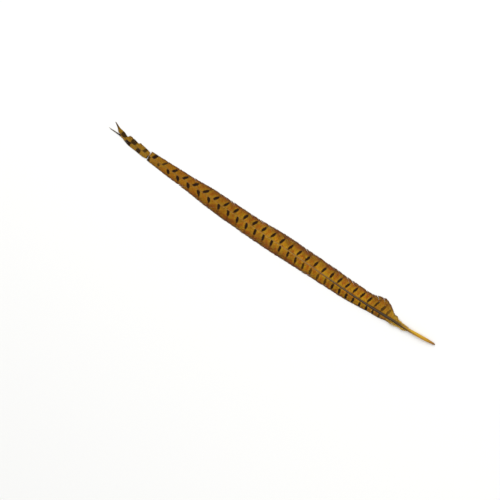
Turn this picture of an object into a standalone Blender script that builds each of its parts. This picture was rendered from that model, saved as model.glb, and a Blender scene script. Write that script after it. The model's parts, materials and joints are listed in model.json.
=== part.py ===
"""A ring-necked pheasant's centre tail feather, dyed gold, lying on its underside.

X runs along the feather from the quill's end to the tip, Y to its left and Z up, out of its upper
side. The origin is at the bottom centre of the whole feather, on the surface that it lies on.
"""

import bmesh
import bpy
import numpy as np

# Driving dimensions in metres. Each place along the feather is measured from the quill's end.
LENGTH = 0.500
MIDDLE_OF_WIDTH = 0.0017  # how far left of the quill's end the middle of the whole width is
WEB_THICKNESS = 0.0006  # the depth of a barb
DOWN_THICKNESS = 0.0012
TOUCHING_GAP = 0.0003  # between pieces that touch
DOWN_STARTS = 0.041
RIGHT_WEB_STARTS = 0.063
LEFT_WEB_STARTS = 0.0712
SPLIT = 0.4372  # where both webs are parted right through
SPLIT_WIDTH = 0.0011
SPIKE_ENDS = 0.4966  # the right web's last barbs splay out in a spike

# The shaft: its middle's place to the left and height, and its radius, each by place.
SHAFT_LEFT = ((0, 0), (0.045, 0.0034), (0.115, 0.0056), (0.2, 0.0042), (0.3, 0.0031),
              (0.42, 0.0016), (0.47, 0.0004), (LENGTH, 0))
SHAFT_HEIGHT = ((0, 0.0012), (0.02, 0.00245), (0.045, 0.0027), (0.09, 0.0042), (0.2, 0.0056),
                (0.3, 0.0048), (0.4, 0.0028), (0.44, 0.0018), (LENGTH, 0.0004))
SHAFT_RADIUS = ((0, 0.0010), (0.006, 0.0018), (0.022, 0.0023), (0.045, 0.0021), (0.08, 0.0017),
                (0.15, 0.0014), (0.25, 0.0011), (0.35, 0.0008), (0.44, 0.0005), (LENGTH, 0.0002))
SHAFT_RINGS = 60

# Each web's outer edge: its distance from the shaft's middle, by place.
LEFT_DOWN_EDGE = ((DOWN_STARTS, 0.0028), (0.047, 0.0055), (0.0535, 0.0048), (0.0605, 0.0072),
                  (0.066, 0.0055), (0.0708, 0.0050))
RIGHT_DOWN_EDGE = ((DOWN_STARTS, 0.0028), (0.0506, 0.0043), (0.0565, 0.0065), (0.0626, 0.0076))
LEFT_WEB_EDGE = ((LEFT_WEB_STARTS, 0.0050), (0.079, 0.0064), (0.094, 0.0069), (0.13, 0.0097),
                 (0.19, 0.0119), (0.26, 0.0137), (0.31, 0.0132), (0.342, 0.0120),
                 (0.373, 0.0096), (0.405, 0.0081), (SPLIT, 0.0062))
RIGHT_WEB_EDGE = ((RIGHT_WEB_STARTS, 0.0076), (0.070, 0.0120), (0.0765, 0.0163), (0.084, 0.0190),
                  (0.092, 0.0174), (0.103, 0.0148), (0.16, 0.0151), (0.23, 0.0150),
                  (0.28, 0.0123), (0.342, 0.0114), (0.373, 0.0093), (0.405, 0.0079),
                  (SPLIT, 0.0066))
# Towards the tip the barbs end in steps, each step a clump that sticks out past the next.
LEFT_TIP_EDGE = ((SPLIT, 0.0050), (0.445, 0.0058), (0.455, 0.0055), (0.466, 0.0049),
                 (0.4735, 0.0021), (0.480, 0.0013), (0.488, 0.0012))
RIGHT_TIP_EDGE = ((SPLIT, 0.0038), (0.4415, 0.0050), (0.4485, 0.0061), (0.4548, 0.0069),
                  (0.4568, 0.0041), (0.463, 0.0052), (0.4707, 0.0065), (0.4733, 0.0041),
                  (0.477, 0.0058), (0.4845, 0.0083), (0.491, 0.0097), (SPIKE_ENDS, 0.0115))
# How far the spike's inner edge has left the shaft's side.
SPIKE_PARTING = ((0.470, 0), (0.4815, 0.0003), (0.4885, 0.0048), (SPIKE_ENDS, 0.0107))

# Each web's faces: how far apart its columns are along the feather, and its strips across.
LEFT_WEB_FACES = (0.0075, 4)
RIGHT_WEB_FACES = (0.0065, 4)
LEFT_TIP_FACES = (0.0016, 2)
RIGHT_TIP_FACES = (0.0012, 3)
DOWN_FACES = (0.0022, 3)

ATTACHED_ABOVE_MIDDLE = 0.35  # of the shaft's radius
STRAIGHT_DROOP = 0.45  # the share of a web's fall to its edge that is straight; the rest is curved


def smooth(stations, place):
    """The value at a place, on a curve through the stations that never overshoots one."""
    places, values = np.array(stations).T
    place = np.clip(place, places[0], places[-1])
    gaps = np.diff(places)
    rises = np.diff(values) / gaps
    between = [2 * a * b / (a + b) if a * b > 0 else 0 for a, b in zip(rises, rises[1:])]
    slopes = np.array([rises[0], *between, rises[-1]])
    i = np.clip(np.searchsorted(places, place) - 1, 0, len(gaps) - 1)
    t = (place - places[i]) / gaps[i]
    start = values[i] * (1 + 2 * t) * (1 - t) ** 2 + slopes[i] * gaps[i] * t * (1 - t) ** 2
    end = values[i + 1] * (3 - 2 * t) * t**2 - slopes[i + 1] * gaps[i] * (1 - t) * t**2
    return float(start + end)


def clear_scene():
    for thing in list(bpy.data.objects):
        bpy.data.objects.remove(thing, do_unlink=True)


def make_material(name, colour, roughness):
    material = bpy.data.materials.new(name)
    material.use_nodes = True
    shader = material.node_tree.nodes["Principled BSDF"]
    shader.inputs["Base Color"].default_value = (*colour, 1)
    shader.inputs["Roughness"].default_value = roughness
    shader.inputs["Metallic"].default_value = 0
    return material


def place_part(name, data, material, collection, parent):
    """A part of the feather, made from the quill's end, so it hangs from the empty there."""
    part = bpy.data.objects.new(name, data)
    data.materials.append(material)
    part.parent = parent
    collection.objects.link(part)
    return part


def make_shaft():
    """The quill and the rachis: one round tapering rod, closed at both ends."""
    curve = bpy.data.curves.new("shaft", "CURVE")
    curve.dimensions = "3D"
    curve.bevel_depth = 1
    curve.bevel_resolution = 3
    curve.use_fill_caps = True
    line = curve.splines.new("POLY")
    line.points.add(SHAFT_RINGS - 1)
    line.use_smooth = True
    for point, share in zip(line.points, np.linspace(0, 1, SHAFT_RINGS)):
        place = LENGTH * share
        point.co = (place, smooth(SHAFT_LEFT, place), smooth(SHAFT_HEIGHT, place), 1)
        point.radius = smooth(SHAFT_RADIUS, place)
    return curve


def make_web(name, side, edge, faces, parting=((0, 0), (LENGTH, 0))):
    """The underside of a web, from the shaft's flank out to its edge, which touches the surface.

    side is +1 for the left web and -1 for the right. The web arches down and out.
    """
    spacing, strips = faces
    first, last = edge[0][0], edge[-1][0]
    columns = round((last - first) / spacing)
    form = bmesh.new()
    rows = []
    for share in np.linspace(0, 1, columns + 1):
        place = first + (last - first) * share
        radius = smooth(SHAFT_RADIUS, place)
        attached = smooth(SHAFT_HEIGHT, place) + ATTACHED_ABOVE_MIDDLE * radius
        reach = smooth(edge, place)
        root = radius + TOUCHING_GAP + smooth(parting, place)
        row = []
        for out in np.linspace(root, reach, strips + 1):
            u = out / reach
            height = attached * (1 - STRAIGHT_DROOP * u - (1 - STRAIGHT_DROOP) * u**2)
            row.append(form.verts.new((place, smooth(SHAFT_LEFT, place) + side * out, height)))
        rows.append(row)
    for row, following in zip(rows, rows[1:]):
        for k in range(strips):
            corners = (row[k], following[k], following[k + 1], row[k + 1])
            form.faces.new(corners if side > 0 else corners[::-1])
    mesh = bpy.data.meshes.new(name)
    form.to_mesh(mesh)
    form.free()
    mesh.shade_smooth()
    return mesh


def thicken(web, thickness):
    solid = web.modifiers.new("Barb depth", "SOLIDIFY")
    solid.thickness = thickness
    solid.offset = 1


def clip_edge(edge, start=0, end=LENGTH):
    """The stretch of an edge between two places, with stations of its own at both."""
    start, end = max(start, edge[0][0]), min(end, edge[-1][0])
    inside = [station for station in edge if start < station[0] < end]
    return ((start, smooth(edge, start)), *inside, (end, smooth(edge, end)))


def main():
    clear_scene()
    collection = bpy.data.collections.new("pheasant_tail_feather")
    bpy.context.scene.collection.children.link(collection)
    quill_end = bpy.data.objects.new("quill_end", None)
    quill_end.location = (-LENGTH / 2, -MIDDLE_OF_WIDTH, 0)
    collection.objects.link(quill_end)

    keratin = make_material("shaft", (0.42, 0.21, 0.03), 0.35)
    barbs = make_material("web", (0.52, 0.24, 0.02), 0.65)
    fluff = make_material("down", (0.60, 0.31, 0.03), 0.85)

    place_part("shaft", make_shaft(), keratin, collection, quill_end)
    before_split, after_split = SPLIT - SPLIT_WIDTH / 2, SPLIT + SPLIT_WIDTH / 2
    webs = (
        ("left_vane", 1, clip_edge(LEFT_WEB_EDGE, end=before_split), LEFT_WEB_FACES),
        ("right_vane", -1, clip_edge(RIGHT_WEB_EDGE, end=before_split), RIGHT_WEB_FACES),
        ("left_vane_tip", 1, clip_edge(LEFT_TIP_EDGE, start=after_split), LEFT_TIP_FACES),
        ("right_vane_tip", -1, clip_edge(RIGHT_TIP_EDGE, start=after_split), RIGHT_TIP_FACES,
         SPIKE_PARTING),
    )
    for name, *shape in webs:
        web = place_part(name, make_web(name, *shape), barbs, collection, quill_end)
        thicken(web, WEB_THICKNESS)
    for name, side, edge in (("left_down", 1, LEFT_DOWN_EDGE), ("right_down", -1, RIGHT_DOWN_EDGE)):
        tuft = make_web(name, side, edge, DOWN_FACES)
        thicken(place_part(name, tuft, fluff, collection, quill_end), DOWN_THICKNESS)


main()
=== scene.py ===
"""A ring-necked pheasant's centre tail feather, dyed gold, lying on its underside.

It is put together in the order in which it grows out from its middle: the shaft, the two webs of
barbs, their parted ends near the tip, and the down at the base. A place along the feather is in
metres from the quill's end, and its left is on the left when it is seen from above, tip away.
"""

import json

import bpy
import numpy as np
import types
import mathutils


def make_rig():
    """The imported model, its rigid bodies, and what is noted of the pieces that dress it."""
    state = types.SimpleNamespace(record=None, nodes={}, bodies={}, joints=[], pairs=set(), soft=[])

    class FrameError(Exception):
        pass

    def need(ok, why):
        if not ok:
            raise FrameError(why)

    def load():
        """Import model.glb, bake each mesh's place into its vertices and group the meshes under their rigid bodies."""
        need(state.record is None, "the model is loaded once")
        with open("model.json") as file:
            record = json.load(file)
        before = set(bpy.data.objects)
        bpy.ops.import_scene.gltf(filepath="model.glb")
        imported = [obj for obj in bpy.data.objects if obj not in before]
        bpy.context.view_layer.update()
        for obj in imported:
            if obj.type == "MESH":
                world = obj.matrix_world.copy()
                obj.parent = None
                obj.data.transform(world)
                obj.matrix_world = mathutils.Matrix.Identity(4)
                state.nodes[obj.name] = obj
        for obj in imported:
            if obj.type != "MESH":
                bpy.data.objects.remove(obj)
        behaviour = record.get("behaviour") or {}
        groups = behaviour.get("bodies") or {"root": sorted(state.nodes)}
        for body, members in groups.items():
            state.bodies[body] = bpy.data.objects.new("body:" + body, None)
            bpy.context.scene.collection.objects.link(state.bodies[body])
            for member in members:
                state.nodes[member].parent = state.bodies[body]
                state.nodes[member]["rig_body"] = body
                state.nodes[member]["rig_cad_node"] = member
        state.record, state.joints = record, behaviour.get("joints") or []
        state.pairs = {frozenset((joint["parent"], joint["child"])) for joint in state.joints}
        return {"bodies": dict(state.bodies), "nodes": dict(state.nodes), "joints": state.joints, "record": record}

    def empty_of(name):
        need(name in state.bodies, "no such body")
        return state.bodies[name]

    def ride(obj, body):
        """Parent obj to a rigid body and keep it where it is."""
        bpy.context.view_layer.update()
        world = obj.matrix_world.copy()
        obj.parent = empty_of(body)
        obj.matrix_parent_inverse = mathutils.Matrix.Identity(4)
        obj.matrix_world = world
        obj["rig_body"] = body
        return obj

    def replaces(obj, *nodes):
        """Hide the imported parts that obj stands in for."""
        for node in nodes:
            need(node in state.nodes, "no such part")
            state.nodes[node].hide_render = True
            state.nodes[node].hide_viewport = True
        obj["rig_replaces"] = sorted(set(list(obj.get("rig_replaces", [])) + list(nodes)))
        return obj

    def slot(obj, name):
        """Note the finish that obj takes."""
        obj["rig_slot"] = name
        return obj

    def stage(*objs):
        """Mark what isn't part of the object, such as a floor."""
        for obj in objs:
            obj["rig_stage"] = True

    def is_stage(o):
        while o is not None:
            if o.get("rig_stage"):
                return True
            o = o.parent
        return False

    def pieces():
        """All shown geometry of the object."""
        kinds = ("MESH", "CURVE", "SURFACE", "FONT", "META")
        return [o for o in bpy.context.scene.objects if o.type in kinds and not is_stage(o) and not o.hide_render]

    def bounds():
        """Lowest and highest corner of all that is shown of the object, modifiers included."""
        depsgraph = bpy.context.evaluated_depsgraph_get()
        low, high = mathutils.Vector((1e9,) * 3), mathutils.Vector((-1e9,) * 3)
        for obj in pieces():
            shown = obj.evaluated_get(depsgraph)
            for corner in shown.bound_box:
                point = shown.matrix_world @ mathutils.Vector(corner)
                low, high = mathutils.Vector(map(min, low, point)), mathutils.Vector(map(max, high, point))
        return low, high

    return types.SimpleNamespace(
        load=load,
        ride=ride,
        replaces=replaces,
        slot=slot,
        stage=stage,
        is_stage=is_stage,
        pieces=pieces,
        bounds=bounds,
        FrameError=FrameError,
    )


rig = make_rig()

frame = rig.load()
cad_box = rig.bounds()

# ---------------------------------------------------------------------------------------------
# The shaft: one tapering rod of horn (keratin). Its bare quill is hollow, round and closed by a
# small pit; along the webs it is pithy, four-sided and grooved underneath. The dye lies yellow on
# the quill, and the horn's own brown shows through where the webs begin. Along the rachis its
# dark flanks also carry painted shade, and its top a thin painted highlight.
# ---------------------------------------------------------------------------------------------
LENGTH = 0.500
MIDDLE_OF_WIDTH = 0.0017  # how far left of the quill's end the middle of the whole width is
# The shaft's middle, to its left and in height, and its radius, each by place along it.
SHAFT_LEFT = ((0, 0), (0.045, 0.0034), (0.115, 0.0056), (0.2, 0.0042), (0.3, 0.0031),
              (0.42, 0.0016), (0.47, 0.0004), (LENGTH, 0))
SHAFT_HEIGHT = ((0, 0.0012), (0.02, 0.00245), (0.045, 0.0027), (0.09, 0.0042), (0.2, 0.0056),
                (0.3, 0.0048), (0.4, 0.0028), (0.44, 0.0018), (LENGTH, 0.0004))
SHAFT_RADIUS = ((0, 0.0010), (0.006, 0.0018), (0.022, 0.0023), (0.045, 0.0021), (0.08, 0.0017),
                (0.15, 0.0014), (0.25, 0.0011), (0.35, 0.0008), (0.44, 0.0005), (LENGTH, 0.0002))
TIP_BEND = ((0, 0), (0.44, 0), (0.47, 0.0004), (0.484, 0.0011), (LENGTH, 0.0010))  # to the right
SHAFT_RINGS = 420
RINGS_POWER = 1.25  # above 1, they are closer together towards the quill's end
SHAFT_SIDES = 40
QUILL_TIP = 0.004  # over which the quill's end is rounded off
BLUNT_TIP = 0.45  # the end's radius, as a share of what it would be
PIT_DEPTHS = (0.0016, 0.0003, 0)
PIT_SHARE = 0.32  # of the end's radius
THIN_END = 0.012  # over which the shaft's far end thins out
THINNED = 0.4  # by this share
SQUARE_FROM, SQUARE_AT = 0.045, 0.11  # where the round quill turns into the four-sided rachis
SQUARE_POWER = 1.1  # how far its outline's power rises above a circle's 2
GROOVE_DEPTH, GROOVE_WIDTH = 0.30, 0.32  # a share of the radius, and radians
NARROWER_ABOVE = 0.22  # a share of the rachis's width


def smooth(stations, places):
    """The values at places, on a curve through the stations that never overshoots one."""
    at, values = np.array(stations, float).T
    places = np.clip(places, at[0], at[-1])
    gaps = np.diff(at)
    rises = np.diff(values) / gaps
    before, after = rises[:-1], rises[1:]
    same_way = before * after > 0
    between = np.where(same_way, 2 * before * after / np.where(same_way, before + after, 1), 0)
    slopes = np.concatenate([rises[:1], between, rises[-1:]])
    i = np.clip(np.searchsorted(at, places) - 1, 0, len(gaps) - 1)
    t = (places - at[i]) / gaps[i]
    start = values[i] * (1 + 2 * t) * (1 - t) ** 2 + slopes[i] * gaps[i] * t * (1 - t) ** 2
    end = values[i + 1] * (3 - 2 * t) * t**2 - slopes[i + 1] * gaps[i] * (1 - t) * t**2
    return start + end


def ramp(value, low, high):
    """0 up to low and 1 from high on, with a smooth rise between them."""
    t = np.clip((value - low) / (high - low), 0, 1)
    return t * t * (3 - 2 * t)


def unit(vectors):
    return vectors / np.maximum(np.linalg.norm(vectors, axis=-1, keepdims=True), 1e-12)


def sweep(paths, up, widths, heights, section):
    """Rings of points along paths: rings[path, station, corner].

    A section's corners are shares of the width to the side and of the height towards up.
    """
    ahead = unit(np.gradient(paths, axis=-2))
    aside = unit(np.cross(up, ahead))
    above = np.cross(ahead, aside)
    section = np.asarray(section, float)
    out = aside[..., None, :] * (widths[..., None] * section[..., 0])[..., None]
    rise = above[..., None, :] * (heights[..., None] * section[..., 1])[..., None]
    return paths[..., None, :] + out + rise


def make_piece(name, rings, facts, rows=1, band=(0, 1)):
    """A mesh of closed tubes through the rings, with a map that gives each tube its own column.

    facts is {attribute: values}, each with three numbers for every ring or every corner. band is
    the part of the map's height that is used.
    """
    tubes, stations, corners = rings.shape[:3]
    index = np.arange(tubes * stations * corners).reshape(tubes, stations, corners)
    near, far = index[:, :-1], index[:, 1:]
    walls = np.stack([near, np.roll(near, -1, 2), np.roll(far, -1, 2), far], -1).reshape(-1, 4)
    ends = np.concatenate([index[:, 0, ::-1], index[:, -1]])
    mesh = bpy.data.meshes.new(name)
    mesh.from_pydata(rings.reshape(-1, 3).tolist(), [], walls.tolist() + ends.tolist())
    for fact, values in facts.items():
        values = np.broadcast_to(values, (tubes, stations, corners, 3))
        attribute = mesh.attributes.new(fact, "FLOAT_VECTOR", "POINT")
        attribute.data.foreach_set("vector", values.astype(np.float32).ravel())

    columns = -(-tubes // rows)
    tube = np.arange(tubes)
    column, row = (tube % columns)[:, None, None, None], (tube // columns)[:, None, None, None]
    corner = np.arange(corners)[None, None, :, None] + np.array([0, 1, 1, 0])
    station = np.arange(stations - 1)[None, :, None, None] + np.array([0, 0, 1, 1])
    u = (column + 0.02 + 0.96 * corner / corners) / columns
    v = (row + 0.01 + 0.98 * station / (stations - 1)) / rows
    u, v = np.broadcast_arrays(u, v)
    walls_map = np.stack([u, v], -1).reshape(-1, 2)
    ring_u = (column[..., 0] + 0.02 + 0.96 * np.arange(corners) / corners) / columns
    ring_v = (row[..., 0] + 0.01) / rows + np.zeros(corners)
    first_map = np.stack([ring_u[:, 0, ::-1], ring_v[:, 0]], -1).reshape(-1, 2)
    last_map = np.stack([ring_u[:, 0], ring_v[:, 0] + 0.98 / rows], -1).reshape(-1, 2)
    bake_map = mesh.uv_layers.new(name="OFBake")
    whole = np.concatenate([walls_map, first_map, last_map])
    whole[:, 1] = band[0] + (band[1] - band[0]) * whole[:, 1]
    bake_map.data.foreach_set("uv", whole.astype(np.float32).ravel())
    mesh.shade_smooth()
    piece = bpy.data.objects.new(name, mesh)
    bpy.context.scene.collection.objects.link(piece)
    return piece


class Wire:
    """A node's output in a finish, so that shader maths can be written as Python."""

    def __init__(self, finish, socket):
        self.finish = finish
        self.socket = socket

    def other(self, output):
        return Wire(self.finish, self.socket.node.outputs[output])

    def maths(self, operation, *values):
        return self.finish.node("Math", {"operation": operation}, dict(enumerate(values)))

    def __add__(self, value):
        return self.maths("ADD", self, value)

    def __sub__(self, value):
        return self.maths("SUBTRACT", self, value)

    def __rsub__(self, value):
        return self.maths("SUBTRACT", value, self)

    def __mul__(self, value):
        return self.maths("MULTIPLY", self, value)

    def __truediv__(self, value):
        return self.maths("DIVIDE", self, value)

    def __pow__(self, value):
        return self.maths("POWER", self, value)

    def __abs__(self):
        return self.maths("ABSOLUTE", self)

    def __round__(self):
        return self.maths("ROUND", self)

    def rise(self, low, high):
        """0 at low and 1 at high, with a smooth rise between them. high may be the lower one."""
        settings = {"interpolation_type": "SMOOTHSTEP"}
        if high > low:
            return self.finish.node("MapRange", settings, {0: self, 1: low, 2: high})
        return self.finish.node("MapRange", settings, {0: self, 1: high, 2: low, 3: 1.0, 4: 0.0})

    __radd__, __rmul__ = __add__, __mul__


class Finish:
    """A procedural material, with the one way to add a node to it."""

    def __init__(self, name, **sockets):
        self.material = bpy.data.materials.new(name)
        self.material.use_nodes = True
        self.tree = self.material.node_tree
        self.shader = self.tree.nodes["Principled BSDF"]
        for socket, value in sockets.items():
            self.set(socket.replace("_", " "), value)

    def set(self, socket, value):
        self.join(self.shader.inputs[socket], value)

    def join(self, socket, value):
        if isinstance(value, Wire):
            self.tree.links.new(value.socket, socket)
        else:
            socket.default_value = value

    def node(self, kind, settings=None, sockets=None, out=0):
        made = self.tree.nodes.new("ShaderNode" + kind)
        for setting, value in (settings or {}).items():
            if setting == "stops":
                stops = made.color_ramp.elements
                while len(stops) < len(value):
                    stops.new(1)
                for stop, (position, colour) in zip(stops, value):
                    stop.position, stop.color = position, colour
            else:
                setattr(made, setting, value)
        for socket, value in (sockets or {}).items():
            self.join(made.inputs[socket], value)
        return Wire(self, made.outputs[out])

    def fact(self, name):
        """The three numbers of one of the mesh's attributes."""
        vector = self.node("Attribute", {"attribute_name": name}, out="Vector")
        first = self.node("SeparateXYZ", sockets={0: vector})
        return first, first.other(1), first.other(2)

    def mottle(self, x, y, z, detail=2.0):
        """Soft noise, one lump to each unit of x, y and z."""
        vector = self.node("CombineXYZ", sockets={0: x, 1: y, 2: z})
        return self.node("TexNoise", sockets={"Vector": vector, "Scale": 1.0, "Detail": detail},
                         out="Fac")

    def gradient(self, value, stops):
        return self.node("ValToRGB", {"stops": stops}, {0: value})

    def mix(self, share, colour, other):
        return self.node("Mix", {"data_type": "RGBA"}, {0: share, 6: colour, 7: other}, out=2)


def dye(code):
    """A colour as a shader takes it, from its six-digit code."""
    shares = (int(code[i:i + 2], 16) / 255 for i in (0, 2, 4))
    return (*(c / 12.92 if c < 0.04 else ((c + 0.055) / 1.055) ** 2.4 for c in shares), 1)


def millimetres(place):
    return place * 1000


def shaft_path(places):
    left = smooth(SHAFT_LEFT, places) - smooth(TIP_BEND, places)
    return np.stack([places - LENGTH / 2, left - MIDDLE_OF_WIDTH, smooth(SHAFT_HEIGHT, places)], -1)


shaft_places = LENGTH * np.linspace(0, 1, SHAFT_RINGS) ** RINGS_POWER
shaft_radii = smooth(SHAFT_RADIUS, shaft_places)
dome = np.sqrt(1 - (1 - np.clip(shaft_places / QUILL_TIP, 0, 1)) ** 2)
shaft_radii *= BLUNT_TIP + (1 - BLUNT_TIP) * dome
shaft_radii *= 1 - THINNED * ramp(shaft_places, LENGTH - THIN_END, LENGTH)
shaft_radii = np.minimum(shaft_radii, smooth(SHAFT_HEIGHT, shaft_places))  # stays on the table
around = np.linspace(0, 2 * np.pi, SHAFT_SIDES, endpoint=False)
squareness = ramp(shaft_places, SQUARE_FROM, SQUARE_AT)[:, None]
power = 2 + SQUARE_POWER * squareness
plump = (np.abs(np.cos(around)) ** power + np.abs(np.sin(around)) ** power) ** (-1 / power)
from_below = np.abs((around - 1.5 * np.pi + np.pi) % (2 * np.pi) - np.pi)
groove = GROOVE_DEPTH * squareness * np.exp(-((from_below / GROOVE_WIDTH) ** 2))
narrow_above = 1 - NARROWER_ABOVE * squareness * np.clip(np.sin(around), 0, 1)
outline = (plump * 0.93 ** squareness * (1 - groove))[..., None] * np.stack(
    [np.cos(around) * narrow_above, np.broadcast_to(np.sin(around), narrow_above.shape)], -1)
shaft_line = shaft_path(shaft_places)
shaft_rings = sweep(shaft_line, np.array([0, 0, 1.0]), shaft_radii, shaft_radii, outline)
# The pit in the quill's end: the first ring turns in and runs a little way back up the middle.
rim = shaft_rings[0]
pit = [shaft_line[0] + (rim - shaft_line[0]) * PIT_SHARE + [depth, 0, 0] for depth in PIT_DEPTHS]
shaft_rings = np.concatenate([np.stack(pit), shaft_rings])[None]
shaft_places = np.concatenate([np.zeros(len(pit)), shaft_places])
shaft_facts = np.empty(shaft_rings.shape)
shaft_facts[..., 0] = millimetres(shaft_places)[:, None]
shaft_facts[..., 1] = np.cos(around)
shaft_facts[..., 2] = np.sin(around)
# The pit's dark inside is painted shade in the hollow of the quill's end.
shaft_facts[0, :2, :, 0] = -1  # the pit's inside is dark
shaft = make_piece("shaft_horn", shaft_rings, {"place": shaft_facts})

horn = Finish("dyed horn", Specular_IOR_Level=0.3, Coat_Weight=0.06, Coat_Roughness=0.25,
              Subsurface_Weight=0.08, Subsurface_Scale=0.001)
along, aside, above = horn.fact("place")
streaks = horn.mottle(along * 0.05, aside * 2.2, above * 2.2, detail=4.0)
blotches = horn.mottle(along * 0.16, aside * 0.7, above * 0.7)
place = (along + (blotches - 0.5) * 10 + (streaks - 0.5) * 9) / 500
# The top's colour. Along the rachis its greyish middle is a thin painted highlight over the horn's dark brown.
upper = horn.gradient(place, (
    (0.000, dye("734818")), (0.010, dye("9c6c10")), (0.028, dye("bb8a0c")), (0.045, dye("c39606")),
    (0.065, dye("c69a0a")), (0.085, dye("9e740c")), (0.105, dye("5c420f")), (0.12, dye("493816")),
    (0.15, dye("473822")), (0.22, dye("6c5232")), (0.30, dye("8a6a3e")), (0.38, dye("a67c40")),
    (0.60, dye("a07226")), (0.86, dye("805a18")), (0.95, dye("2c1d0c")), (0.985, dye("4a3a26")),
    (1.0, dye("8c7c66"))))
# The flanks' colour: the horn's own dark brown along the rachis, darkened further with painted shade.
flank_with_painted_shade = horn.gradient(place, (
    (0.0, dye("734818")), (0.010, dye("98660c")), (0.028, dye("be8c0a")), (0.05, dye("b28008")),
    (0.07, dye("8c6208")), (0.09, dye("38260a")), (0.25, dye("1c1206")), (0.33, dye("342410")),
    (0.42, dye("805e26")), (0.55, dye("8c641e")), (0.86, dye("6e4a12")), (0.95, dye("2a1b0a")),
    (0.985, dye("40301c")), (1.0, dye("8c7c66"))))
# Where the flanks' painted shade lies: the left flank all along, and the right one from about 55 to 85 mm on.
rough_side = aside + (streaks - 0.5) * 0.4
lopsided = along.rise(55, 85)
to_shaded_flank = rough_side.rise(-0.1, 0.25) + (rough_side * -1).rise(0.2, 0.55) * lopsided
horn_colour = horn.mix(to_shaded_flank, upper, flank_with_painted_shade)
below = (above * -1).rise(0.0, 0.7) * (along.rise(40, 70) * 0.55)
horn_colour = horn.mix(below, horn_colour, dye("b59a62"))
horn_colour = horn.mix((streaks.rise(0.58, 0.72)) * 0.25, horn_colour, dye("5a3f18"))
# Painted shade inside the pit at the quill's end.
horn_colour = horn.mix((along * -1).rise(0.4, 0.9), horn_colour, dye("2b1c0c"))
horn.set("Base Color", horn_colour)
horn.set("Roughness", 0.30 + streaks * 0.22)
fibres = horn.mottle(along * 0.35, aside * 26, above * 26, detail=3.0)
grain = horn.node("Bump", sockets={"Strength": 0.25, "Distance": 0.00012, "Height": fibres})
horn.set("Normal", grain)
shaft.data.materials.append(horn.material)
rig.ride(shaft, "root")
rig.replaces(shaft, "shaft")
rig.slot(shaft, "shaft")

# ---------------------------------------------------------------------------------------------
# The two webs: some 750 flat barbs on each side of the shaft, each hooked to the next, so that
# they make one soft sheet that arches down to the surface. They part in small clumps along the
# edge. The black bars are the feather's own pattern; the gold between them is dye.
# ---------------------------------------------------------------------------------------------
SPLIT = 0.4372
SPLIT_WIDTH = 0.00077
# Each web's outer edge: its distance from the shaft's middle, by place.
LEFT_WEB_EDGE = ((0.0712, 0.0050), (0.079, 0.0064), (0.094, 0.0069), (0.13, 0.0097),
                 (0.19, 0.0119), (0.26, 0.0137), (0.31, 0.0132), (0.342, 0.0120),
                 (0.373, 0.0096), (0.405, 0.0081), (SPLIT, 0.0062))
RIGHT_WEB_EDGE = ((0.063, 0.0076), (0.070, 0.0120), (0.0765, 0.0163), (0.084, 0.0190),
                  (0.092, 0.0174), (0.103, 0.0148), (0.16, 0.0151), (0.23, 0.0150),
                  (0.28, 0.0123), (0.342, 0.0114), (0.373, 0.0093), (0.405, 0.0079),
                  (SPLIT, 0.0066))
STRAIGHT_DROOP = 0.45  # the share of a web's fall to its edge that is straight
ATTACHED_ABOVE_MIDDLE = 0.35  # of the shaft's radius: where a web's arch springs from
BELOW_SHOULDER = 0.00025  # how far under the shaft's surface a barb starts
SHOULDER_WIDTH = 2.2  # in shaft radii: how soon a web comes down from the shoulder to its arch
FIRST_LEFT_BARB, FIRST_RIGHT_BARB = 0.060, 0.055
BARB_SPACING = 0.0005
SHORTEST_BARB = 0.0004
TIP_BEYOND_ROOT = 0.012  # about how much further along than its root a barb's tip lies
BARB_STATIONS = np.concatenate([np.linspace(0, 0.92, 13), [0.955, 0.975, 0.99, 1]])
OVERLAP = 1.4  # a barb's width over its spacing
POINTED, CUT = 0.12, 0.55  # a barb's end as a share of its width, and where the split cuts it
CLEARANCE = 0.00022  # from a barb's middle to what it lies on
LOWEST = 0.00003
RIDGE = 0.00007  # how far a barb's stem stands out of its flat sides
# A barb from its end: flat sides that slip under the next barb's, a stem on top and a deep keel.
BARB_SECTION = ((1, -0.5), (0.2, 0.25), (0, 1), (-0.2, 0.25), (-1, 0.5), (0, -2))
BARB_UNDER = (0.5, 0, 0, 0, 0.5, 1)  # how far each of those corners is on the underside
# How far a barb goes along for each step out: where it leaves the shaft, and at its tip.
LEAVES = ((0.041, 0.45), (0.07, 0.6), (0.10, 0.85), (0.2, 1.0), (0.35, 1.15), (SPLIT, 1.35),
          (0.46, 2.0), (0.476, 3.0), (LENGTH, 5.0))
LIES = ((0.041, 0.8), (0.07, 1.1), (0.10, 1.6), (0.2, 2.1), (0.35, 2.3), (SPLIT, 2.3),
        (0.46, 2.0), (0.476, 1.7), (LENGTH, 5.0))
# How unevenly they grow: how far a clump is pinched together or bent, how long it and its barbs
# are as a share of the web's width, how pointed it is, and how far it stands up.
PINCH, CLUMP_PINCH, PARTED_PINCH, MOST_PINCH = 0.05, 0.05, 0.22, 0.5
CLUMP_BEND, BARB_BEND = 0.00018, 0.00005
USUAL_LENGTH, CLUMP_LENGTH, BARB_LENGTH, CLUMP_POINT = 1.05, 0.010, 0.006, 0.018
CLUMP_LIFT, BARB_LIFT, CLUMP_TWIST, WAVE = 0.00010, 0.00003, 0.00008, 0.00018
# How much of the shaft's top shows between the webs, from its middle to one side.
SHAFT_SHOWS = ((0.041, 0.0020), (0.06, 0.0017), (0.10, 0.0014), (0.14, 0.0011), (0.18, 0.0007),
               (0.3, 0.0004), (SPLIT, 0.0003), (LENGTH, 0.0001))


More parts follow.
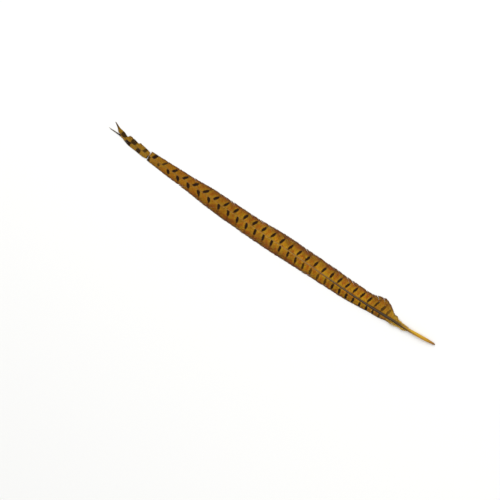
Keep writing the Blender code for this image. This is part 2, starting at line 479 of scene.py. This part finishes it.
def web_height(places, out, reach):
    """The height of a web's underside. It springs from the shaft's shoulder and arches to 0."""
    radius = smooth(SHAFT_RADIUS, places)
    middle = smooth(SHAFT_HEIGHT, places)
    u = np.clip(out / reach, 0, 1)
    droop = STRAIGHT_DROOP * u + (1 - STRAIGHT_DROOP) * u**2
    arch = (middle + ATTACHED_ABOVE_MIDDLE * radius) * (1 - droop)
    shows = smooth(SHAFT_SHOWS, places)
    shoulder = middle + np.sqrt(np.maximum(radius**2 - shows**2, 0)) - BELOW_SHOULDER
    near = 1 - ramp(out, shows, shows + SHOULDER_WIDTH * radius)
    return arch + np.maximum(shoulder - arch, 0) * near


def clumps(count, chance):
    """Each barb's clump number, and its place in its clump from -1 to 1."""
    number, within = np.empty(count, int), np.empty(count)
    first = 0
    while first < count:
        size = min(int(chance.integers(6, 17)), count - first)
        number[first:first + size] = number[first - 1] + 1 if first else 0
        within[first:first + size] = np.linspace(-1, 1, size) if size > 1 else 0
        first += size
    return number, within


def trace_bars(bars, places, out):
    """Where each point is in a web's pattern of bars, from its place and its distance out.

    The bars' number, counted on smoothly between them; the gap between them and half a bar's
    thickness in millimetres; how strongly they are coloured; and the place across a bar's
    length, from -1 to 1.
    """
    middle = smooth(bars["middle"], places)
    slant = np.tan(np.radians(smooth(bars["slant"], places)))
    level = millimetres(places + slant * (out - middle) - smooth(bars["shift"], places))
    gap = np.sqrt(np.maximum(bars["pitch"] ** 2 + 2 * bars["growth"] * (level - bars["first"]), 1))
    phase = (gap - bars["pitch"]) / bars["growth"]
    across = (out - middle) / smooth(bars["half_length"], places)
    half = millimetres(smooth(bars["half_thickness"], places))
    return phase, gap, smooth(bars["strength"], places), across, half


def grow_web(name, side, roots, edge, bars, seed, span, arch_edge=None, rows=8,
             spacing=BARB_SPACING, loose=1.0, parting=None):
    """Barbs from the roots out to the edge, side +1 for the left web and -1 for the right.

    span keeps only what lies between two places along the feather. arch_edge is where the web's
    arch would reach the table, if not at its edge. rows is for make_piece. loose scales the
    disorder. parting is how far out the last barb lies, by place, where the barbs leave the
    shaft's side.
    """
    # The draws that make each clump and each barb its own.
    chance = np.random.default_rng(seed)
    count = len(roots)
    number, within = clumps(count, chance)
    of_clump = chance.normal(size=(number[-1] + 1, 6))[number]
    of_barb = chance.normal(size=(count, 4))
    clump_shade = chance.random((number[-1] + 1, 2))[number, 0]
    roots = roots + 0.06 * spacing * of_barb[:, 0]
    start = smooth(SHAFT_SHOWS, roots) * 0.9
    usual = smooth(arch_edge or edge, roots + TIP_BEYOND_ROOT)
    leaves, lies = smooth(LEAVES, roots), smooth(LIES, roots)
    parted = np.where(of_clump[:, 5] > 1.5, PARTED_PINCH, 0)
    pinch = np.clip(PINCH + CLUMP_PINCH * of_clump[:, 0] + parted, 0, MOST_PINCH) * loose
    bend = loose * (CLUMP_BEND * of_clump[:, 1] + BARB_BEND * of_barb[:, 1])
    size = np.bincount(number)[number]

    def place_at(out):
        """The place along the feather at which each barb is this far out."""
        u = out / usual[:, None]
        grown = (out**2.5 - start[:, None] ** 2.5) / (2.5 * usual[:, None] ** 1.5)
        straight = leaves[:, None] * (out - start[:, None])
        gather = -within * size / 2 * spacing * pinch
        return (roots[:, None] + straight + (lies - leaves)[:, None] * grown
                + (bend + gather)[:, None] * np.clip(u, 0, 1.2) ** 3)

    # Each barb ends where it crosses the web's edge, give or take its clump's own length.
    uneven = CLUMP_LENGTH * of_clump[:, 2] + BARB_LENGTH * of_barb[:, 2] - CLUMP_POINT * within**2
    length = USUAL_LENGTH + loose * uneven
    ladder = start[:, None] + np.linspace(0, 1, 240) * (max(e[1] for e in edge) * 1.15)
    crossed = ladder - smooth(edge, place_at(ladder)) * length[:, None]
    crossed[:, -1] = 1
    first = np.argmax(crossed > 0, axis=1)
    pick = np.arange(count)
    before = np.maximum(first - 1, 0)
    share = -crossed[pick, before] / (crossed[pick, first] - crossed[pick, before])
    far = ladder[pick, before] + np.clip(share, 0, 1) * (ladder[pick, first] - ladder[pick, before])
    along = place_at(ladder)
    low = np.array([np.interp(span[0], a, o) for a, o in zip(along, ladder)])
    high = np.array([np.interp(span[1], a, o) for a, o in zip(along, ladder)])
    cut = high < far
    near, far = np.maximum(start, low), np.minimum(far, high - 0.0001 * np.abs(of_barb[:, 3]))
    keep = far - near > SHORTEST_BARB
    out = near[:, None] + (far - near)[:, None] * BARB_STATIONS

    # The last barbs are pressed together between the parting and the web's edge.
    places = place_at(out)
    if parting:
        rim = smooth(edge, places)
        last = np.interp(places, places[keep][-1], out[keep][-1])
        closer = (rim - np.maximum(smooth(parting, places), last)) / np.maximum(rim - last, 1e-5)
        out = rim - (rim - out) * np.clip(closer, 0.02, 1)
    # They follow the arch, a little up and down in slow waves and clump by clump.
    reach = smooth(arch_edge or edge, places)
    height = web_height(places, out, reach)
    u = np.clip(out / reach, 0, 1.1)
    wave = WAVE * (np.sin(places * 210 + seed) + 0.7 * np.sin(places * 390 + 2 * seed))
    lift = (CLUMP_LIFT * of_clump[:, 3] + BARB_LIFT * of_barb[:, 3])[:, None] * loose
    height += u**2 * (wave + lift + CLUMP_TWIST * of_clump[:, 4:5] * within[:, None])
    height = np.maximum(height, 0) + CLEARANCE
    bent = smooth(TIP_BEND, places) * (1 - ramp(out, 0.0008, 0.0030))  # only beside the shaft
    left = smooth(SHAFT_LEFT, places) - bent - MIDDLE_OF_WIDTH
    paths = np.stack([places - LENGTH / 2, left + side * out, height], -1)

    # Each barb is as wide as the gap to the next asks, and its flat sides lie along the web.
    slope = np.gradient(height, axis=1) / np.maximum(np.gradient(out, axis=1), 1e-6)
    up = unit(np.stack([np.zeros_like(slope), -side * np.clip(slope, -1.5, 1.5),
                        np.ones_like(slope)], -1))
    steps = leaves[:, None] + (lies - leaves)[:, None] * np.clip(out / usual[:, None], 0, 1) ** 1.5
    gathered = 1 - (pinch[:, None] * np.clip(u, 0, 1) ** 3)
    widths = spacing * OVERLAP / 2 / np.sqrt(1 + steps**2) * gathered
    blunt = np.where(cut, CUT, POINTED)[:, None]
    taper = 1 - (1 - blunt) * ramp(BARB_STATIONS, 0.962, 1.0)
    section = np.array(BARB_SECTION)
    section[:, 0] *= side
    under = np.array(BARB_UNDER)
    if side < 0:
        section, under = section[::-1], under[::-1]
    rings = sweep(paths, up, widths * taper, RIDGE * (0.5 + 0.5 * taper), section)
    rings[..., 2] = np.maximum(rings[..., 2], LOWEST)

    # What the finish needs to know at every corner.
    phase, gap, strength, across, half = trace_bars(bars, places, out)
    root = np.broadcast_to(roots[:, None], places.shape)
    barb_shade = 0.5 + 0.17 * of_barb[:, 1]

    def every_corner(*numbers):
        return np.stack(np.broadcast_arrays(*(n[..., None] for n in numbers)), -1)

    strand = np.broadcast_arrays(barb_shade[:, None, None], clump_shade[:, None, None],
                                 np.broadcast_to(under, (*places.shape, len(under))))
    facts = {
        "place": millimetres(every_corner(places, side * out, root)),
        "strand": np.stack(strand, -1),
        "bar": every_corner(phase, gap, strength),
        "spread": every_corner(across, half, u),
    }
    facts = {fact: values[keep] for fact, values in facts.items()}
    return make_piece(name, rings[keep], facts, rows=rows)


# The bars' pattern. The first bar's place, the gap after it and how much each next gap grows are
# in millimetres. The rest is by place along the feather: how far a bar is shifted from that rule,
# its middle's distance from the shaft, its size, its slant in degrees and its strength.
RIGHT_BARS = {
    "first": 89.65, "pitch": 10.80, "growth": 0.224,
    "shift": ((0.07, 0.0044), (0.082, 0.0012), (0.12, 0), (0.335, 0), (0.365, 0.0013),
              (0.4, 0.0016), (0.43, 0.0003), (0.446, -0.0014), (0.462, -0.0004),
              (0.478, -0.0018)),
    "middle": ((0.07, 0.0052), (0.09, 0.0073), (0.12, 0.0073), (0.135, 0.0067), (0.2, 0.0057),
               (0.262, 0.0059), (0.32, 0.0048), (0.352, 0.0038), (0.4, 0.0030), (0.43, 0.0031),
               (0.446, 0.0024), (0.463, 0.0036), (0.48, 0.0043)),
    "half_length": ((0.07, 0.0038), (0.09, 0.0032), (0.2, 0.0032), (0.32, 0.0028), (0.41, 0.0026),
                    (0.43, 0.0036), (0.446, 0.0032), (0.463, 0.0040), (0.48, 0.0032)),
    "half_thickness": ((0.07, 0.0016), (0.082, 0.0016), (0.09, 0.0010), (0.12, 0.0011),
                       (0.2, 0.0011), (0.25, 0.0012), (0.33, 0.0013), (0.36, 0.0015),
                       (0.4, 0.0014), (0.414, 0.0012), (0.43, 0.0017), (0.446, 0.0015),
                       (0.463, 0.0026), (0.478, 0.0028)),
    "slant": ((0.09, 13), (0.22, 13), (0.24, 20), (0.3, 18), (0.33, 25), (0.352, 34), (0.41, 36),
              (0.43, 28), (0.446, 14), (0.47, 4)),
    "strength": ((0.062, 0), (0.069, 0.6), (0.08, 0.8), (0.09, 0.9), (0.1, 1), (0.4, 1),
                 (0.414, 0.85), (0.43, 1), (0.445, 0.84), (0.462, 0.88), (0.48, 0.88)),
}
LEFT_BARS = {
    "first": 89.54, "pitch": 9.35, "growth": 0.258,
    "shift": ((0.25, 0), (0.275, -0.0014), (0.32, -0.0011), (0.345, 0), (0.39, 0.0025),
              (0.405, 0.0019), (0.435, 0), (0.452, -0.0004)),
    "middle": ((0.08, 0.0040), (0.09, 0.0044), (0.11, 0.0056), (0.14, 0.0055), (0.18, 0.0061),
               (0.205, 0.0052), (0.223, 0.0036), (0.25, 0.0040), (0.3, 0.0036), (0.342, 0.0030),
               (0.405, 0.0027), (0.42, 0.0026), (0.435, 0.0037), (0.452, 0.0030), (0.468, 0.0026)),
    "half_length": ((0.08, 0.0026), (0.12, 0.0028), (0.14, 0.0028), (0.18, 0.0031), (0.21, 0.0028),
                    (0.25, 0.0033), (0.35, 0.0030), (0.4, 0.0022), (0.42, 0.0013), (0.435, 0.0040),
                    (0.452, 0.0030), (0.468, 0.0040)),
    "half_thickness": ((0.08, 0.0009), (0.13, 0.0011), (0.16, 0.0011), (0.22, 0.0011),
                       (0.235, 0.0012), (0.34, 0.0013), (0.36, 0.0014), (0.405, 0.0016),
                       (0.42, 0.0012), (0.435, 0.0017), (0.452, 0.0020), (0.469, 0.0029)),
    "slant": ((0.1, 10), (0.2, 12), (0.29, 15), (0.33, 20), (0.356, 31), (0.405, 34), (0.42, 20),
              (0.435, 10), (0.47, 0)),
    "strength": ((0.072, 0.3), (0.08, 0.8), (0.09, 0.95), (0.1, 1), (0.152, 1), (0.162, 0.8),
                 (0.185, 0.8), (0.2, 0.95), (0.235, 1), (0.405, 1), (0.42, 0.8), (0.435, 0.9),
                 (0.455, 0.92), (0.47, 1)),
}

web = Finish("dyed web", Specular_IOR_Level=0.12, Sheen_Weight=0.02, Sheen_Roughness=0.4,
             Sheen_Tint=dye("ffc860"))
along, aside, root = web.fact("place")
out, on_left = abs(aside), aside.rise(-0.5, 0.5)  # aside is below 0 on the right web
barb_shade, clump_shade, under = web.fact("strand")
phase, gap, strength = web.fact("bar")
across, half, edgeward = web.fact("spread")

# How far the nearest bar is, in millimetres. Bars lean and wander, and each barb carries its own
# stretch of a bar a little further on or back, so their outlines are ragged.
ragged = web.mottle(root * 1.6, out * 0.35, 0.0) - 0.5
bar_number = round(phase)
own = web.mottle(bar_number * 3.7, 4.2, strength * 0.2) - 0.5
own_tilt = web.mottle(bar_number * 3.7, 9.6, 1.3) - 0.5
wander = web.mottle(along * 0.3, out * 0.45, 5.0) - 0.5
off_bar = ((phase - bar_number) * gap + own_tilt * across * 1.6 + wander * 1.6 + ragged * 1.1
           + (barb_shade - 0.5) * 0.7)
across = across + ragged * 0.45 + own * 0.6 + wander * 0.4
from_bar = (off_bar / (half * (1.56 + own * 0.5))) ** 2 + abs(across * 0.77) ** 2.4
bar = from_bar.rise(1.4, 0.6) * strength
halo = from_bar.rise(9.0, 1.2) * abs(across).rise(1.9, 0.9) * strength
shadow = abs(off_bar).rise(2.2, 0.3) * abs(across).rise(0.8, 1.3) * strength

# The dye took unevenly: redder streaks along the barbs, yellower patches, a lighter halo round
# each bar, and darker and paler stretches of the feather. Some darker stretches are partly painted
# shadow and shade, as noted where they are mixed in.
level = phase * gap
streak = web.mottle(level * 0.55, out * 0.16, clump_shade * 0.6, detail=3.0)
patch = web.mottle(along * 0.12, out * 0.22, 7.0, detail=2.0)
fine = web.mottle(root * 1.1, out * 0.12, 3.0, detail=2.0)

# Darker towards the web's edge: partly the web's own colour and partly painted shade where the web falls away to the
# table.
gold = web.gradient(edgeward, (
    (0.0, dye("b88a24")), (0.16, dye("c28a1e")), (0.40, dye("ba7209")), (0.66, dye("9c5c12")),
    (0.86, dye("875120")), (1.0, dye("6a4226"))))
gold = web.mix(streak.rise(0.44, 0.58) * 0.8, gold, dye("ad5404"))
gold = web.mix(patch.rise(0.48, 0.60) * 0.65, gold, dye("b08a0c"))
gold = web.mix(halo * 0.6, gold, dye("c69a1e"))
gold = web.mix(along.rise(80, 62) * 0.65, gold, dye("ae8a26"))
# Darker from 67 to 104 mm: partly the feather's own tone and partly painted shadow.
gold = web.mix(along.rise(67, 76) * along.rise(104, 88) * 0.34, gold, dye("6e4618"))
gold = web.mix(fine.rise(0.50, 0.66) * 0.6, gold, dye("74440c"))
gold = web.mix((clump_shade - 0.5).rise(0.0, 0.5) * 0.35, gold, dye("78460e"))
gold = web.mix((0.5 - clump_shade).rise(0.0, 0.5) * 0.25, gold, dye("bf8a16"))
for start, full, share, colour in (
        (245, 330, 0.40, "744606"), (335, 370, 0.25, "b0700e"), (400, 450, 0.6, "9c7a24")):
    gold = web.mix(along.rise(start, full) * share, gold, dye(colour))
# Painted shade on the outer part of each web over these stretches, where the web slopes away from the light.
painted_shade_left = on_left * along.rise(212, 234) * along.rise(285, 262) * edgeward.rise(0.1, 0.45)
painted_shade_right = (1 - on_left) * along.rise(120, 155) * along.rise(270, 240) * edgeward.rise(0.3, 0.6)
gold = web.mix(painted_shade_left * 0.32 + painted_shade_right * 0.24, gold, dye("6a4220"))
# The spike's end and the barbs along the shaft's end are dark. Near the base the barbs' roots
# beside the shaft get painted shade, where the web meets the shaft.
gold = web.mix(along.rise(484, 492) * 0.75, gold, dye("3a2a1a"))
gold = web.mix(along.rise(479, 484) * out.rise(2.6, 1.2) * 0.8, gold, dye("2c2218"))
gold = web.mix(shadow * 0.5, gold, dye("54290c"))
# Painted shade on the barbs' roots beside the shaft, from the base to about 112 mm.
gold = web.mix(out.rise(2.5, 1.6) * along.rise(112, 90) * 0.6, gold, dye("3a2610"))
# Darker along the outer edge, unevenly: partly the web's own colour and partly painted shade where the edge curves
# down.
rim_noise = web.mottle(root * 0.5, out * 0.5, 11.0)
gold = web.mix(edgeward.rise(0.78, 1.02) * (0.40 + rim_noise * 0.5), gold, dye("63402c"))
# Underneath, the barbs are paler and their bars fainter.
upper = web.mix(bar * 0.98, gold, dye("241006"))
lower_gold = web.mix(0.62, gold, dye("96763f"))
lower = web.mix(bar * 0.6, lower_gold, dye("3d2c1c"))
web.set("Base Color", web.mix(under.rise(0.5, 0.56), upper, lower))
web.set("Roughness", 0.46 + fine * 0.18 + barb_shade * 0.06)
hooks = web.mottle(root * 3.0, along * 9.0, out * 9.0, detail=2.0)
web.set("Normal", web.node("Bump", sockets={"Strength": 0.35, "Distance": 0.00006,
                                            "Height": hooks}))


def place_web(piece, node):
    piece.data.materials.append(web.material)
    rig.ride(piece, "root")
    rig.replaces(piece, node)
    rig.slot(piece, "web")


before_split, after_split = SPLIT - SPLIT_WIDTH / 2, SPLIT + SPLIT_WIDTH / 2
left_roots = np.arange(FIRST_LEFT_BARB, before_split, BARB_SPACING)
place_web(grow_web("left_web", 1, left_roots, LEFT_WEB_EDGE, LEFT_BARS, seed=11,
                   span=(0, before_split)), "left_vane")
right_roots = np.arange(FIRST_RIGHT_BARB, before_split, BARB_SPACING)
place_web(grow_web("right_web", -1, right_roots, RIGHT_WEB_EDGE, RIGHT_BARS, seed=12,
                   span=(0, before_split)), "right_vane")

# ---------------------------------------------------------------------------------------------
# The webs' ends beyond the split: a fault line has parted every barb near the tip. Past it the
# barbs end in steps. On the right the last of them splay out in a spike, and on the left they
# hug the shaft's thin end.
# ---------------------------------------------------------------------------------------------
LEFT_TIP_EDGE = ((SPLIT, 0.0047), (0.445, 0.0055), (0.455, 0.0048), (0.466, 0.0044),
                 (0.4735, 0.0024), (0.480, 0.0013), (0.488, 0.0011), (0.499, 0.0007))
RIGHT_TIP_EDGE = ((SPLIT, 0.0038), (0.4415, 0.0050), (0.4485, 0.0061), (0.4548, 0.0069),
                  (0.4568, 0.0053), (0.463, 0.0064), (0.4707, 0.0071), (0.4733, 0.0045),
                  (0.477, 0.0059), (0.4795, 0.0067), (0.484, 0.0075), (0.488, 0.0083),
                  (0.4925, 0.0101), (0.4968, 0.0118))
# The spike's inner edge, as a distance from the shaft's middle.
SPIKE_PARTING = ((0.470, 0), (0.482, 0.0003), (0.485, 0.0014), (0.488, 0.0048),
                 (0.4925, 0.0084), (0.4968, 0.0112))
LEFT_TIP_ARCH = ((SPLIT, 0.0062), (0.455, 0.0058), (0.47, 0.0045), (0.488, 0.0016))
RIGHT_TIP_ARCH = ((SPLIT, 0.0066), (0.455, 0.0070), (0.47, 0.0068), (0.4966, 0.0115))
TIP_SPACING = 0.00042
TIP_LOOSENESS = 0.7
LEFT_TIP_ROOTS = (SPLIT - 0.010, 0.4955)
RIGHT_TIP_ROOTS = (SPLIT - 0.012, 0.4810)
SPIKE_ENDS = 0.4966

left_roots = np.arange(*LEFT_TIP_ROOTS, TIP_SPACING)
place_web(grow_web("left_web_end", 1, left_roots, LEFT_TIP_EDGE, LEFT_BARS, seed=21,
                   span=(after_split, LENGTH), arch_edge=LEFT_TIP_ARCH, rows=2,
                   spacing=TIP_SPACING, loose=TIP_LOOSENESS), "left_vane_tip")
right_roots = np.arange(*RIGHT_TIP_ROOTS, TIP_SPACING)
place_web(grow_web("right_web_end", -1, right_roots, RIGHT_TIP_EDGE, RIGHT_BARS, seed=22,
                   span=(after_split, SPIKE_ENDS), arch_edge=RIGHT_TIP_ARCH, rows=2,
                   spacing=TIP_SPACING, loose=TIP_LOOSENESS, parting=SPIKE_PARTING),
          "right_vane_tip")

# ---------------------------------------------------------------------------------------------
# The down: the lowest barbs have no hooks, so their fine barbules stand loose and the tufts stay
# fluffy and ragged. They took the dye palest.
# ---------------------------------------------------------------------------------------------
LEFT_DOWN_EDGE = ((0.041, 0.0028), (0.047, 0.0055), (0.0535, 0.0048), (0.0605, 0.0072),
                  (0.066, 0.0055), (0.0708, 0.0050))
RIGHT_DOWN_EDGE = ((0.041, 0.0028), (0.0506, 0.0043), (0.0565, 0.0065), (0.0626, 0.0076))
DOWN_BARBS = 105
BARBULES = 78
BARBULE_LENGTH = 0.0013
BARBULE_RADIUS = 0.000040
STEM_WIDTH, STEM_DEPTH = 0.00020, 0.00006
STEM_STARTS = 0.8  # of the shaft's radius from its middle
SCATTER, WAVER, STANDS_UP = 0.0006, 0.0005, 0.0004
SHORTEST, LONGEST = 0.28, 0.88  # of the tuft's own reach
THREAD = ((1, 0), (-0.5, 0.866), (-0.5, -0.866))
STEM_STATIONS = np.linspace(0, 1, 12)
HAIR_STATIONS = np.linspace(0, 1, 4)


def grow_down(name, side, edge, seed):
    """A tuft of loose stems with curling barbules, side +1 for the left and -1 for the right."""
    chance = np.random.default_rng(seed)
    first, last = edge[0][0], edge[-1][0]
    roots = np.linspace(first - 0.001, last - 0.002, DOWN_BARBS)[:, None]
    roots = roots + chance.normal(size=roots.shape) * SCATTER
    radius = smooth(SHAFT_RADIUS, roots)
    t = STEM_STATIONS
    share = chance.uniform(SHORTEST, LONGEST, roots.shape)
    length = smooth(edge, roots + 0.003) * share - radius * STEM_STARTS
    curl = chance.normal(size=(DOWN_BARBS, 4))
    out = radius * STEM_STARTS + length * t
    step = 0.5 + 0.25 * curl[:, :1]
    waver = WAVER * np.sin(t * 5 + 3 * curl[:, 1:2]) * t
    places = np.clip(roots + length * (step * t + 0.35 * t**2) + waver, first, last)
    reach = smooth(edge, places) * 1.1
    height = (smooth(SHAFT_HEIGHT, roots) + 0.4 * radius) * (1 - 0.9 * (out / reach) ** 1.4)
    height = np.maximum(height, 0) + 0.0002 + STANDS_UP * np.abs(curl[:, 2:3]) * t
    left = smooth(SHAFT_LEFT, places) - MIDDLE_OF_WIDTH
    stems = np.stack([places - LENGTH / 2, left + side * out, height], -1)
    up = np.array([0, 0, 1.0])
    taper = np.broadcast_to(1.2 - t, out.shape)
    stem_rings = sweep(stems, up, STEM_WIDTH * taper, STEM_DEPTH * taper, THREAD)

    # Barbules leave each stem to both sides, some up and some down, and curl.
    share = np.linspace(0.12, 1, BARBULES)
    at = share * (len(t) - 1)
    low = np.minimum(at.astype(int), len(t) - 2)
    rest = (at - low)[None, :, None]
    bases = stems[:, low] * (1 - rest) + stems[:, low + 1] * rest
    ahead = unit(stems[:, low + 1] - stems[:, low])
    aside = unit(np.cross(ahead, up))
    hand = np.where(np.arange(BARBULES) % 2, 1, -1)[None, :, None]
    loose = chance.normal(size=(DOWN_BARBS, BARBULES, 6))
    away = unit(aside * hand + ahead * (0.75 + 0.25 * loose[..., :1])
                + up * 0.30 * loose[..., 1:2])
    long = BARBULE_LENGTH * (1.1 - 0.65 * share)[None, :, None] * (1 + 0.25 * loose[..., 2:3])
    steps = HAIR_STATIONS[:, None]
    bow = unit(ahead + 0.4 * loose[..., 3:6])
    curled = away[:, :, None] * steps + 0.45 * bow[:, :, None] * steps**2
    hairs = bases[:, :, None] + curled * long[:, :, None]
    hairs = hairs.reshape(-1, len(HAIR_STATIONS), 3)
    hairs[..., 2] = np.maximum(hairs[..., 2], 0.00005)
    thin = np.broadcast_to(BARBULE_RADIUS * (1.1 - HAIR_STATIONS), hairs.shape[:2])
    hair_rings = sweep(hairs, up + 0.01, thin, thin, THREAD)

    def tell(rings, paths, shares, tint):
        """The rings with their place along the feather, share of their length, and tint."""
        facts = np.empty((*rings.shape[:3], 3))
        facts[..., 0] = millimetres(paths[..., 0] + LENGTH / 2)[..., None]
        facts[..., 1] = shares[..., None]
        facts[..., 2] = tint[:, None, None]
        return rings, facts

    stem_share = np.broadcast_to(t, out.shape)
    hair_share = np.tile(share, DOWN_BARBS)[:, None] + np.zeros(len(HAIR_STATIONS))
    stem_tint = chance.random(DOWN_BARBS)
    hair_tint = np.repeat(stem_tint, BARBULES) * 0.7 + 0.3 * chance.random(DOWN_BARBS * BARBULES)
    stem_part = tell(stem_rings, stems, stem_share, stem_tint)
    hair_part = tell(hair_rings, hairs, hair_share, hair_tint)
    pieces = [make_piece(name + part, rings, {"place": facts}, rows=rows, band=band)
              for part, (rings, facts), rows, band in (
                  ("", stem_part, 1, (0, 0.04)), ("_hairs", hair_part, 24, (0.05, 1)))]
    with bpy.context.temp_override(active_object=pieces[0], selected_editable_objects=pieces,
                                   object=pieces[0]):
        bpy.ops.object.join()
    return pieces[0]


fluff = Finish("dyed down", Specular_IOR_Level=0.3, Sheen_Weight=0.2, Sheen_Roughness=0.5,
               Sheen_Tint=dye("ffe2a0"))
along, outward, tint = fluff.fact("place")
pale = fluff.mix(tint, dye("d6a41a"), dye("f4cc4c"))
pale = fluff.mix(outward.rise(0.45, 0.0) * 0.6, pale, dye("84600f"))
pale = fluff.mix(fluff.mottle(along * 0.4, tint * 3, outward * 2).rise(0.5, 0.7) * 0.4, pale,
                 dye("bc8c14"))
# Darker olive from 52 mm on, fully from 62 mm: partly the down's own tone and partly painted shadow.
pale = fluff.mix(along.rise(52, 62) * 0.35, pale, dye("94701c"))
pale = fluff.mix(outward.rise(0.55, 0.95) * 0.6, pale, dye("f6d468"))
fluff.set("Base Color", pale)
fluff.set("Roughness", 0.74 + tint * 0.16)

for name, side, edge, seed, node in (
        ("left_fluff", 1, LEFT_DOWN_EDGE, 31, "left_down"),
        ("right_fluff", -1, RIGHT_DOWN_EDGE, 32, "right_down")):
    down = grow_down(name, side, edge, seed)
    down.data.materials.append(fluff.material)
    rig.ride(down, "root")
    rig.replaces(down, node)
    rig.slot(down, "down")

# ---------------------------------------------------------------------------------------------
# The table it lies on, the light and the camera: a plain pale sheet, two wide soft lamps and an
# even white room, seen from straight above with the quill at the lower right.
# ---------------------------------------------------------------------------------------------
TABLE_SIZE = 12.0
ROOM_LIGHT = 0.62
LAMPS = (("wide lamp", (0.8, -1.5, 1.8), 2.2, 36),  # its place, width and power
         ("side lamp", (-1.5, 0.5, 1.9), 1.4, 12))
TURNED = 213.6  # degrees that the camera is turned about the vertical
CAMERA_HEIGHT = 4.0
FIELD = 0.638  # how much of the table the camera sees across
CENTRE = (0.0133, 0.0283)

sheet = bpy.data.meshes.new("table")
half_table = TABLE_SIZE / 2
sheet.from_pydata([(-half_table, -half_table, 0), (half_table, -half_table, 0),
                   (half_table, half_table, 0), (-half_table, half_table, 0)], [], [(0, 1, 2, 3)])
table = bpy.data.objects.new("table", sheet)
bpy.context.scene.collection.objects.link(table)
paper = Finish("pale paper", Roughness=0.9, Specular_IOR_Level=0.2)
on_sheet = paper.node("TexCoord", out="Object")
tooth = paper.node("TexNoise", sockets={"Vector": on_sheet, "Scale": 900.0, "Detail": 2.0}, out="Fac")
paper.set("Base Color", paper.mix(tooth, dye("f4f4f2"), dye("f7f7f6")))
sheet.materials.append(paper.material)
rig.stage(table)

world = bpy.data.worlds.new("room")
bpy.context.scene.world = world
world.use_nodes = True
world.node_tree.nodes["Background"].inputs["Color"].default_value = (1, 1, 1, 1)
world.node_tree.nodes["Background"].inputs["Strength"].default_value = ROOM_LIGHT
for name, stands_at, width, power in LAMPS:
    lamp = bpy.data.lights.new(name, "AREA")
    lamp.shape, lamp.size, lamp.energy = "DISK", width, power
    stand = bpy.data.objects.new(name, lamp)
    stand.location = stands_at
    stand.rotation_mode = "QUATERNION"
    stand.rotation_quaternion = (-stand.location).to_track_quat("-Z", "Y")
    stand.visible_camera = False
    bpy.context.scene.collection.objects.link(stand)

lens = bpy.data.cameras.new("camera")
lens.sensor_width = 36
lens.lens = lens.sensor_width * CAMERA_HEIGHT / FIELD
camera = bpy.data.objects.new("camera", lens)
camera.location = (*CENTRE, CAMERA_HEIGHT)
camera.rotation_euler = (0, 0, np.radians(TURNED))
bpy.context.scene.collection.objects.link(camera)
bpy.context.scene.camera = camera
bpy.context.scene.view_settings.view_transform = "Standard"

with open("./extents.json", "w") as sizes:
    json.dump({"cad": [list(corner) for corner in cad_box],
               "visual": [list(corner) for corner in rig.bounds()]}, sizes)
